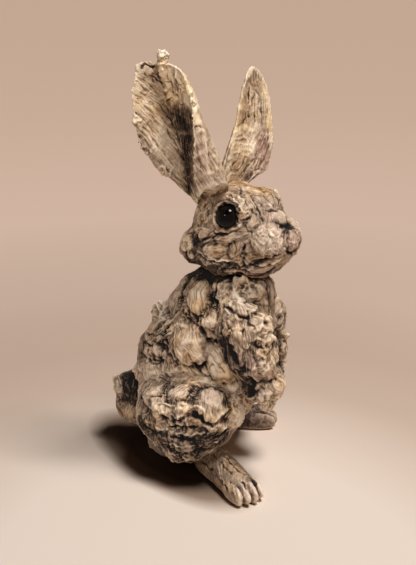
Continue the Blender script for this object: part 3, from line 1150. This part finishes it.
def set_grain(skin, rows, look):
    for (dx, dy), outline in rows:
        picked = skin.region(outline, 1.0, look, front=False) > 0.5
        along = unit(look.direction(dx, dy))
        side = unit(look.direction(dy, -dx))
        offset = skin.place[picked]
        depth = unit(np.cross(along, side))
        skin.grain[picked, 0] = offset @ along
        skin.grain[picked, 1] = offset @ side + 0.6 * (offset @ depth)
        skin.grain[picked, 2] = 0


def press_areas(skin, rows, look):
    for soft, tone, warmth, outline, *depth in rows:
        share = skin.region(outline, soft, look)
        skin.tone += tone * share
        skin.hue += warmth * share
        if depth:
            skin.set_place(skin.place + look.rays(skin.place) * (depth[0] * share)[:, None])


# Where a casting sinks into its neighbour, so that the two read as one mass: neighbour, softness, how proud
# it stays in mm, outline
MELTS = {
    "right_ear": [
        ("head", 8, 0.2, [(184, 200), (226, 193), (238, 224), (184, 224)]),
        ("head", 7, -2.2, [(178, 197), (214, 194), (230, 188), (244, 226), (178, 226)]),
    ],
    "right_haunch": [
        ("torso", 15, 1.8, [(128, 340), (196, 340), (202, 376), (182, 382), (150, 384), (128, 394)]),
    ],
}
# Whose tables each casting reads, and from which side. The left casting of a pair reads the right one's.
HEAD_TWIN = HERE.mirrored("right_eye", "left_eye")
SIDES = {
    "torso": [("torso", HERE.mirrored("right_haunch", "left_haunch")), ("torso", HERE)],
    "head": [("head", HEAD_TWIN), ("head", HERE)],
    "left_ear": [("right_ear", HEAD_TWIN), ("left_ear", HERE)],
}
for part in ("haunch", "foreleg", "hind_foot"):
    mirror = HERE.mirrored("right_" + part, "left_" + part)
    SIDES["left_" + part] = [("right_" + part, mirror), ("left_" + part, HERE)]


def tables(node, which):
    """The rows of a kind for a casting, each with its look. The left ear mirrors its root only."""
    for name, look in SIDES.get(node, [(node, HERE)]):
        if node != "left_ear" or look is HERE or which is MELTS:
            yield which.get(name, ()), look


DEEPEST_MELT = 30  # in mm


def melt(skin, rows, look):
    for neighbour, soft, proud, outline in rows:
        share = skin.region(outline, soft, look, front=False)
        moved = skin.place.copy()
        for i in np.flatnonzero(share > 0.01):
            ray = unit(moved[i] - look.eye)
            reach = skins[neighbour].finder.ray_cast(Vector(look.eye), Vector(ray))[3]
            if reach is not None:
                behind = reach - proud - np.linalg.norm(moved[i] - look.eye)
                moved[i] += ray * share[i] * min(max(behind, 0), DEEPEST_MELT)
        skin.set_place(skin.smoothed(moved, 3))


def lay(skin, *kinds):
    """Lays the rows of each kind on a casting, from each side that it is read from."""
    for lay_rows, which in kinds:
        for rows, look in tables(skin.node, which):
            lay_rows(skin, rows, look)


def model(node, strength, seed, streaks, crumples):
    """Lays what the photograph shows of a casting, with wrinkles over its areas and locks, and paints it."""
    skin = skins[node]
    lay(skin, (melt, MELTS), (set_grain, GRAINS), (press_areas, AREAS))
    lay(skin, (lay_locks, LOCKS), (set_rough, ROUGH))
    wrinkle(skin, strength, seed, streaks, crumples)
    lay(skin, (lay_knobs, KNOBS), (lay_lines, LINES))
    skin.finish_shape()
    paint(skin)
    clay, slot = (ear_clay, "ear_resin") if node.endswith("ear") else (body_clay, "resin")
    piece(node, node + "_clay", skin.mesh, clay)


# The castings
BODY = ["torso", "right_haunch", "left_haunch", "right_foreleg", "left_foreleg"]
FINE = ["head", "right_ear", "left_ear"]
FINE_PITCH, PITCH, GROW = 0.6, 0.8, 0.3  # spacing of a skin's points, and how far it lies over its solid
skins = {}
for node in BODY + ["tail", "right_hind_foot", "left_hind_foot"] + FINE:
    points = cad_points(node)
    finder = cad_finder(points, node)
    flaps = []
    for rows, look in tables(node, FLAPS):
        if look is HERE or node != "head":  # the head's flaps aren't mirrored
            flaps += [slab(points, finder, outline, lift, look) for lift, outline in rows]
    pitch, grow = FINE_PITCH if node in FINE else PITCH, 0 if node == "tail" else GROW
    skins[node] = Skin(node, pitch, grow, flaps)

BODY_LOCKS = [(70, 17, 34, 24, 3.0, False), (50, 12, 22, 12, 1.3, True)]
BODY_STREAKS, FOOT_STREAKS = (0.85, 9, 1.5), (0.6, 18, 2.2)
HEAD_STREAKS, EAR_STREAKS = (0.8, 6, 1.2), (0.75, 14, 1.7)
for node in BODY:
    skin = skins[node]
    natural_grain(skin, (0, 0, 1))
    skin.rough = 0.9 * eased(-0.2, 0.6, noise(skin.place, 26, 40) + 0.3 * noise(skin.place, 9, 41))
    clothe(skin, DOWN, BODY_LOCKS)
    model(node, 1.0, 50, BODY_STREAKS, BODY_CRUMPLES)

tail = skins["tail"]
natural_grain(tail, (0, 0, 1))
tail.rough[:], tail.tone[:] = 0.1, 0.16
clothe(tail, (0, -0.6, 1), [(30, 8, 14, 9, 1.2, False)])
model("tail", 0.8, 50, BODY_STREAKS, BODY_CRUMPLES)

for node, outward in (("right_hind_foot", -0.5), ("left_hind_foot", 0.5)):
    natural_grain(skins[node], (outward, -0.87, 0))
    skins[node].rough[:] = 0.25
    model(node, 0.6, 60, FOOT_STREAKS, BODY_CRUMPLES)

head = skins["head"]
natural_grain(head, (0, 1, 0.2))
head.rough = 0.7 * eased(-0.3, 0.7, noise(head.place, 14, 70))
clothe(head, (0, 0.8, -0.3), [(50, 10, 15, 9, 0.8, False)])
model("head", 0.7, 71, HEAD_STREAKS, HEAD_CRUMPLES)

for node in ("right_ear", "left_ear"):
    natural_grain(skins[node], (-0.1, 0, 1))
    skins[node].rough[:] = 0.2
# The bead on the tip of the right ear is thinner than its solid, and a little to the right
BEAD_HEIGHT, BEAD_EASE, BEAD_THINNER, BEAD_SHIFT = 9, 2, 0.78, 0.6
ear = skins["right_ear"]
below_tip = ear.place[:, 2] - ear.place[:, 2].max()
middle = ear.place[below_tip > -BEAD_HEIGHT].mean(0)
thinner = (ear.place - middle) * (BEAD_THINNER, BEAD_THINNER, 1) + middle + HERE.direction(BEAD_SHIFT, 0)
share = eased(-BEAD_HEIGHT - BEAD_EASE, -BEAD_HEIGHT + BEAD_EASE, below_tip)[:, None]
ear.set_place(ear.place * (1 - share) + thinner * share)
for node in ("right_ear", "left_ear"):
    model(node, 1.0, 80, EAR_STREAKS, EAR_CRUMPLES)


# Pins, rods and pads
def steel_material():
    material, tree, shader = node_material("drawn_steel")
    place = put(tree, "ShaderNodeTexCoord").outputs["Object"]
    drawn = noise_node(tree, place, 900, 3, 0.6, stretch=(1.0, 1.0, 0.08))
    stain = noise_node(tree, place, 160, 3, 0.6)
    shade = summed(tree, scaled(tree, drawn, 0.4), scaled(tree, stain, 0.6))
    colour = ramp(tree, shade, [(0.3, (126, 122, 118)), (0.7, (186, 184, 180))])
    tree.links.new(colour, shader.inputs["Base Color"])
    tree.links.new(summed(tree, 0.28, scaled(tree, drawn, 0.25)), shader.inputs["Roughness"])
    shader.inputs["Metallic"].default_value = 1.0
    return material


def felt_material():
    material, tree, shader = node_material("wool_felt")
    place = put(tree, "ShaderNodeTexCoord").outputs["Object"]
    fibres = noise_node(tree, place, 2600, 4, 0.7)
    lumps = noise_node(tree, place, 240, 3, 0.5)
    shade = summed(tree, scaled(tree, fibres, 0.7), scaled(tree, lumps, 0.3))
    colour = ramp(tree, shade, [(0.3, (34, 29, 26)), (0.7, (74, 64, 57))])
    tree.links.new(colour, shader.inputs["Base Color"])
    shader.inputs["Roughness"].default_value = 0.95
    shader.inputs["Sheen Weight"].default_value = 0.3
    roughen(tree, fibres, shader, 1.0, 0.0004)
    return material


steel, felt = steel_material(), felt_material()
for node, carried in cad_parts.items():
    for place in carried.material_slots:
        if node.endswith(("_pin", "_rod", "_dowel")):
            place.material = steel
        elif node.endswith("_pad"):
            place.material = felt

# Eyes: glass balls with a flat back, a cornea and a dark iris
EYE_RINGS, EYE_AROUND = 40, 56
EYE_OUT, EYE_GROW = 0.8, 1.15  # how far the glass stands out in mm, and its size over the solid's
EYE_STOPS = [(0.0, (3, 3, 4)), (0.20, (3, 3, 4)), (0.24, (18, 12, 9)), (0.36, (12, 9, 8)), (0.42, (4, 4, 5))]
CORNEA_ANGLE, CORNEA_RISE = math.radians(38), 0.55


def eye_material():
    material, tree, shader = node_material("eye_glass")
    front = put(tree, "ShaderNodeAttribute", attribute_name="front").outputs["Fac"]
    place = put(tree, "ShaderNodeTexCoord").outputs["Object"]
    fleck = noise_node(tree, place, 900, 3, 0.6)
    colour = ramp(tree, summed(tree, front, scaled(tree, fleck, 0.04, 0.5)), EYE_STOPS)
    tree.links.new(colour, shader.inputs["Base Color"])
    smudge = noise_node(tree, place, 300, 2, 0.5)
    tree.links.new(scaled(tree, smudge, 0.12), shader.inputs["Roughness"])
    shader.inputs["IOR"].default_value = 1.33
    shader.inputs["Specular IOR Level"].default_value = 0.3
    return material


def rings(count, around):
    """The faces between rings of points, listed one ring after another."""
    faces = []
    for ring in range(count - 1):
        for k in range(around):
            a, b = ring * around + k, ring * around + (k + 1) % around
            faces.append((a, b, b + around, a + around))
    return faces


def eye_piece(node, material):
    points = cad_points(node)
    fit = np.linalg.lstsq(np.c_[2 * points, np.ones(len(points))], (points**2).sum(1), rcond=None)[0]
    centre = fit[:3]
    radius = math.sqrt(fit[3] + centre @ centre) * EYE_GROW
    axis = unit(points.mean(0) - centre)
    side = unit(np.cross(axis, (0, 0, 1)))
    up = np.cross(side, axis)
    back = math.acos(np.clip(((points - centre) @ axis).min() / radius, -1, 1))
    places, front = [], []
    for ring in range(EYE_RINGS + 1):
        angle = back * ring / EYE_RINGS
        bulge = CORNEA_RISE * (1 - eased(0, CORNEA_ANGLE, np.array([angle]))[0])
        for k in range(EYE_AROUND):
            turn = 2 * math.pi * k / EYE_AROUND
            across = math.sin(angle) * (math.cos(turn) * side + math.sin(turn) * up)
            places.append(centre + axis * EYE_OUT + (radius + bulge) * (math.cos(angle) * axis + across))
            front.append(angle / math.pi)
    flat_back = tuple(EYE_RINGS * EYE_AROUND + k for k in range(EYE_AROUND))
    made = bpy.data.meshes.new(node + "_glass")
    made.from_pydata([tuple(p * MM) for p in places], [], rings(EYE_RINGS + 1, EYE_AROUND) + [flat_back])
    made.attributes.new("front", "FLOAT", "POINT").data.foreach_set("value", np.array(front, np.float32))
    welder = bmesh.new()
    welder.from_mesh(made)
    bmesh.ops.remove_doubles(welder, verts=welder.verts, dist=1e-6)
    bmesh.ops.recalc_face_normals(welder, faces=welder.faces)
    welder.to_mesh(made)
    welder.free()
    piece(node, node + "_glass", made, material)


glass = eye_material()
for node in ("right_eye", "left_eye"):
    eye_piece(node, glass)

# Floor and backdrop: lit paper near the rabbit, and an even backdrop further off
PALE_AT_M = (-0.130, -0.075, 0)  # middle of the pale part of the paper
PAPER_STOPS = [  # distance from there in metres, colour
    (0.15, (238, 220, 205)),
    (0.21, (226, 205, 188)),
    (0.27, (208, 184, 166)),
    (0.36, (203, 176, 158)),
    (0.52, (211, 184, 166)),
    (0.95, (207, 179, 160)),
    (1.45, (200, 172, 151)),
    (2.10, (196, 168, 148)),
    (3.20, (189, 160, 141)),
]
PAPER_REACH_M = 3.2
DUSK_AT_M = (-0.030, 0.022, 0)  # middle of the darkest paper, and one over its half length and half width
DUSK_LONG, DUSK_WIDE = (0.40 / 0.105, 0.916 / 0.105, 0), (0.916 / 0.044, -0.40 / 0.044, 0)
DUSK_STOPS = [(0.45, (92, 84, 78)), (0.75, (160, 148, 138)), (1.0, (255, 255, 255))]
LIT_TO_M, EVEN_FROM_M = 0.45, 0.80  # distances to which the paper is lit, and from which it is even


def studio_material():
    material, tree, shader = node_material("studio")
    place = put(tree, "ShaderNodeTexCoord").outputs["Object"]
    away = vector_maths(tree, "LENGTH", vector_maths(tree, "SUBTRACT", place, PALE_AT_M))
    share = maths(tree, "DIVIDE", away, PAPER_REACH_M, clamp=True)
    cloud = scaled(tree, noise_node(tree, place, 2.2, 2, 0.5), 0.03, 0.5)
    share = summed(tree, share, cloud, clamp=True)
    colour = ramp(tree, share, [(at / PAPER_REACH_M, shade) for at, shade in PAPER_STOPS])
    off = vector_maths(tree, "SUBTRACT", place, DUSK_AT_M)
    parts = [vector_maths(tree, "DOT_PRODUCT", off, axis) for axis in (DUSK_LONG, DUSK_WIDE)]
    reach = maths(tree, "SQRT", summed(tree, *(maths(tree, "POWER", part, 2.0) for part in parts)))
    dusk = ramp(tree, reach, DUSK_STOPS)
    colour = multiplied(tree, 1.0, colour, dusk)
    tree.links.new(colour, shader.inputs["Base Color"])
    shader.inputs["Roughness"].default_value = 0.9
    shader.inputs["Specular IOR Level"].default_value = 0.1
    glow = put(tree, "ShaderNodeEmission")
    tree.links.new(colour, glow.inputs["Color"])
    path = put(tree, "ShaderNodeLightPath").outputs
    keys = "Is Camera Ray", "Is Glossy Ray", "Is Transmission Ray"
    seen = summed(tree, *(path[key] for key in keys), clamp=True)
    even = maths(tree, "DIVIDE", maths(tree, "SUBTRACT", away, LIT_TO_M), EVEN_FROM_M - LIT_TO_M, clamp=True)
    blend = put(tree, "ShaderNodeMixShader")
    tree.links.new(maths(tree, "MULTIPLY", even, seen), blend.inputs["Fac"])
    tree.links.new(shader.outputs["BSDF"], blend.inputs[1])
    tree.links.new(glow.outputs["Emission"], blend.inputs[2])
    tree.links.new(blend.outputs["Shader"], tree.nodes["Material Output"].inputs["Surface"])
    return material


STUDIO_PARTS = 96


def turned(name, outline):
    """A surface of revolution round Z, from (radius, height) pairs in metres."""
    turns = [2 * math.pi * k / STUDIO_PARTS for k in range(STUDIO_PARTS)]
    points = [(r * math.cos(a), r * math.sin(a), height) for r, height in outline for a in turns]
    mesh = bpy.data.meshes.new(name)
    mesh.from_pydata(points, [], rings(len(outline), STUDIO_PARTS))
    mesh.polygons.foreach_set("use_smooth", np.ones(len(mesh.polygons), bool))
    return shown(name, mesh)


studio = studio_material()
floor = turned("floor", [(0.0001, 0), (0.3, 0), (0.8, 0), (1.6, 0)])
bend = [(1.6 + 0.8 * math.sin(a), 0.8 - 0.8 * math.cos(a)) for a in np.linspace(0.1, 1.5, 12)]
wall = turned("wall", [(1.6, 0), *bend, (2.4, 3.0)])
for part in (floor, wall):
    part.data.materials.append(studio)
wall.visible_diffuse = wall.visible_shadow = False

# Lamps: the fill and the side lamp leave the floor alone, so that the shadow stays dark
VIEW_AXES = np.array([(0.5, -0.866, 0), (-0.866, -0.5, 0), (0, 0, 1)])  # right of the view, to the camera, up
LAMPS = {  # place along those axes, height of the aim and size in metres, then power and colour
    "key": ((0.9, 0.5, 3.0), 0.10, 0.9, 96, (1, 0.985, 0.965)),
    "fill": ((0.9, 2.6, 1.7), 0.16, 0.8, 13, (1, 0.985, 0.97)),
    "side": ((-1.4, 1.9, 2.1), 0.16, 0.9, 32, (1, 0.985, 0.97)),
}
on_floor = bpy.data.collections.new("not_lit_by_fill")
on_floor.objects.link(floor)
on_floor.collection_objects[0].light_linking.link_state = "EXCLUDE"
for name, (place, aim, size, power, colour) in LAMPS.items():
    data = bpy.data.lights.new(name, "AREA")
    data.shape, data.size, data.energy, data.color = "DISK", size, power, colour
    lamp = shown(name, data)
    lamp.location = np.array(place) @ VIEW_AXES
    lamp.rotation_euler = (Vector((0, 0, aim)) - lamp.location).to_track_quat("-Z", "Y").to_euler()
    if name != "key":
        lamp.light_linking.receiver_collection = on_floor

# A dim world, colours as they are, and the sizes
world = bpy.data.worlds.new("world")
world.use_nodes = True
dim = world.node_tree.nodes["Background"]
dim.inputs["Color"].default_value = (1.0, 0.97, 0.95, 1)
dim.inputs["Strength"].default_value = 0.02
bpy.context.scene.world = world

bpy.context.scene.view_settings.view_transform = "Standard"
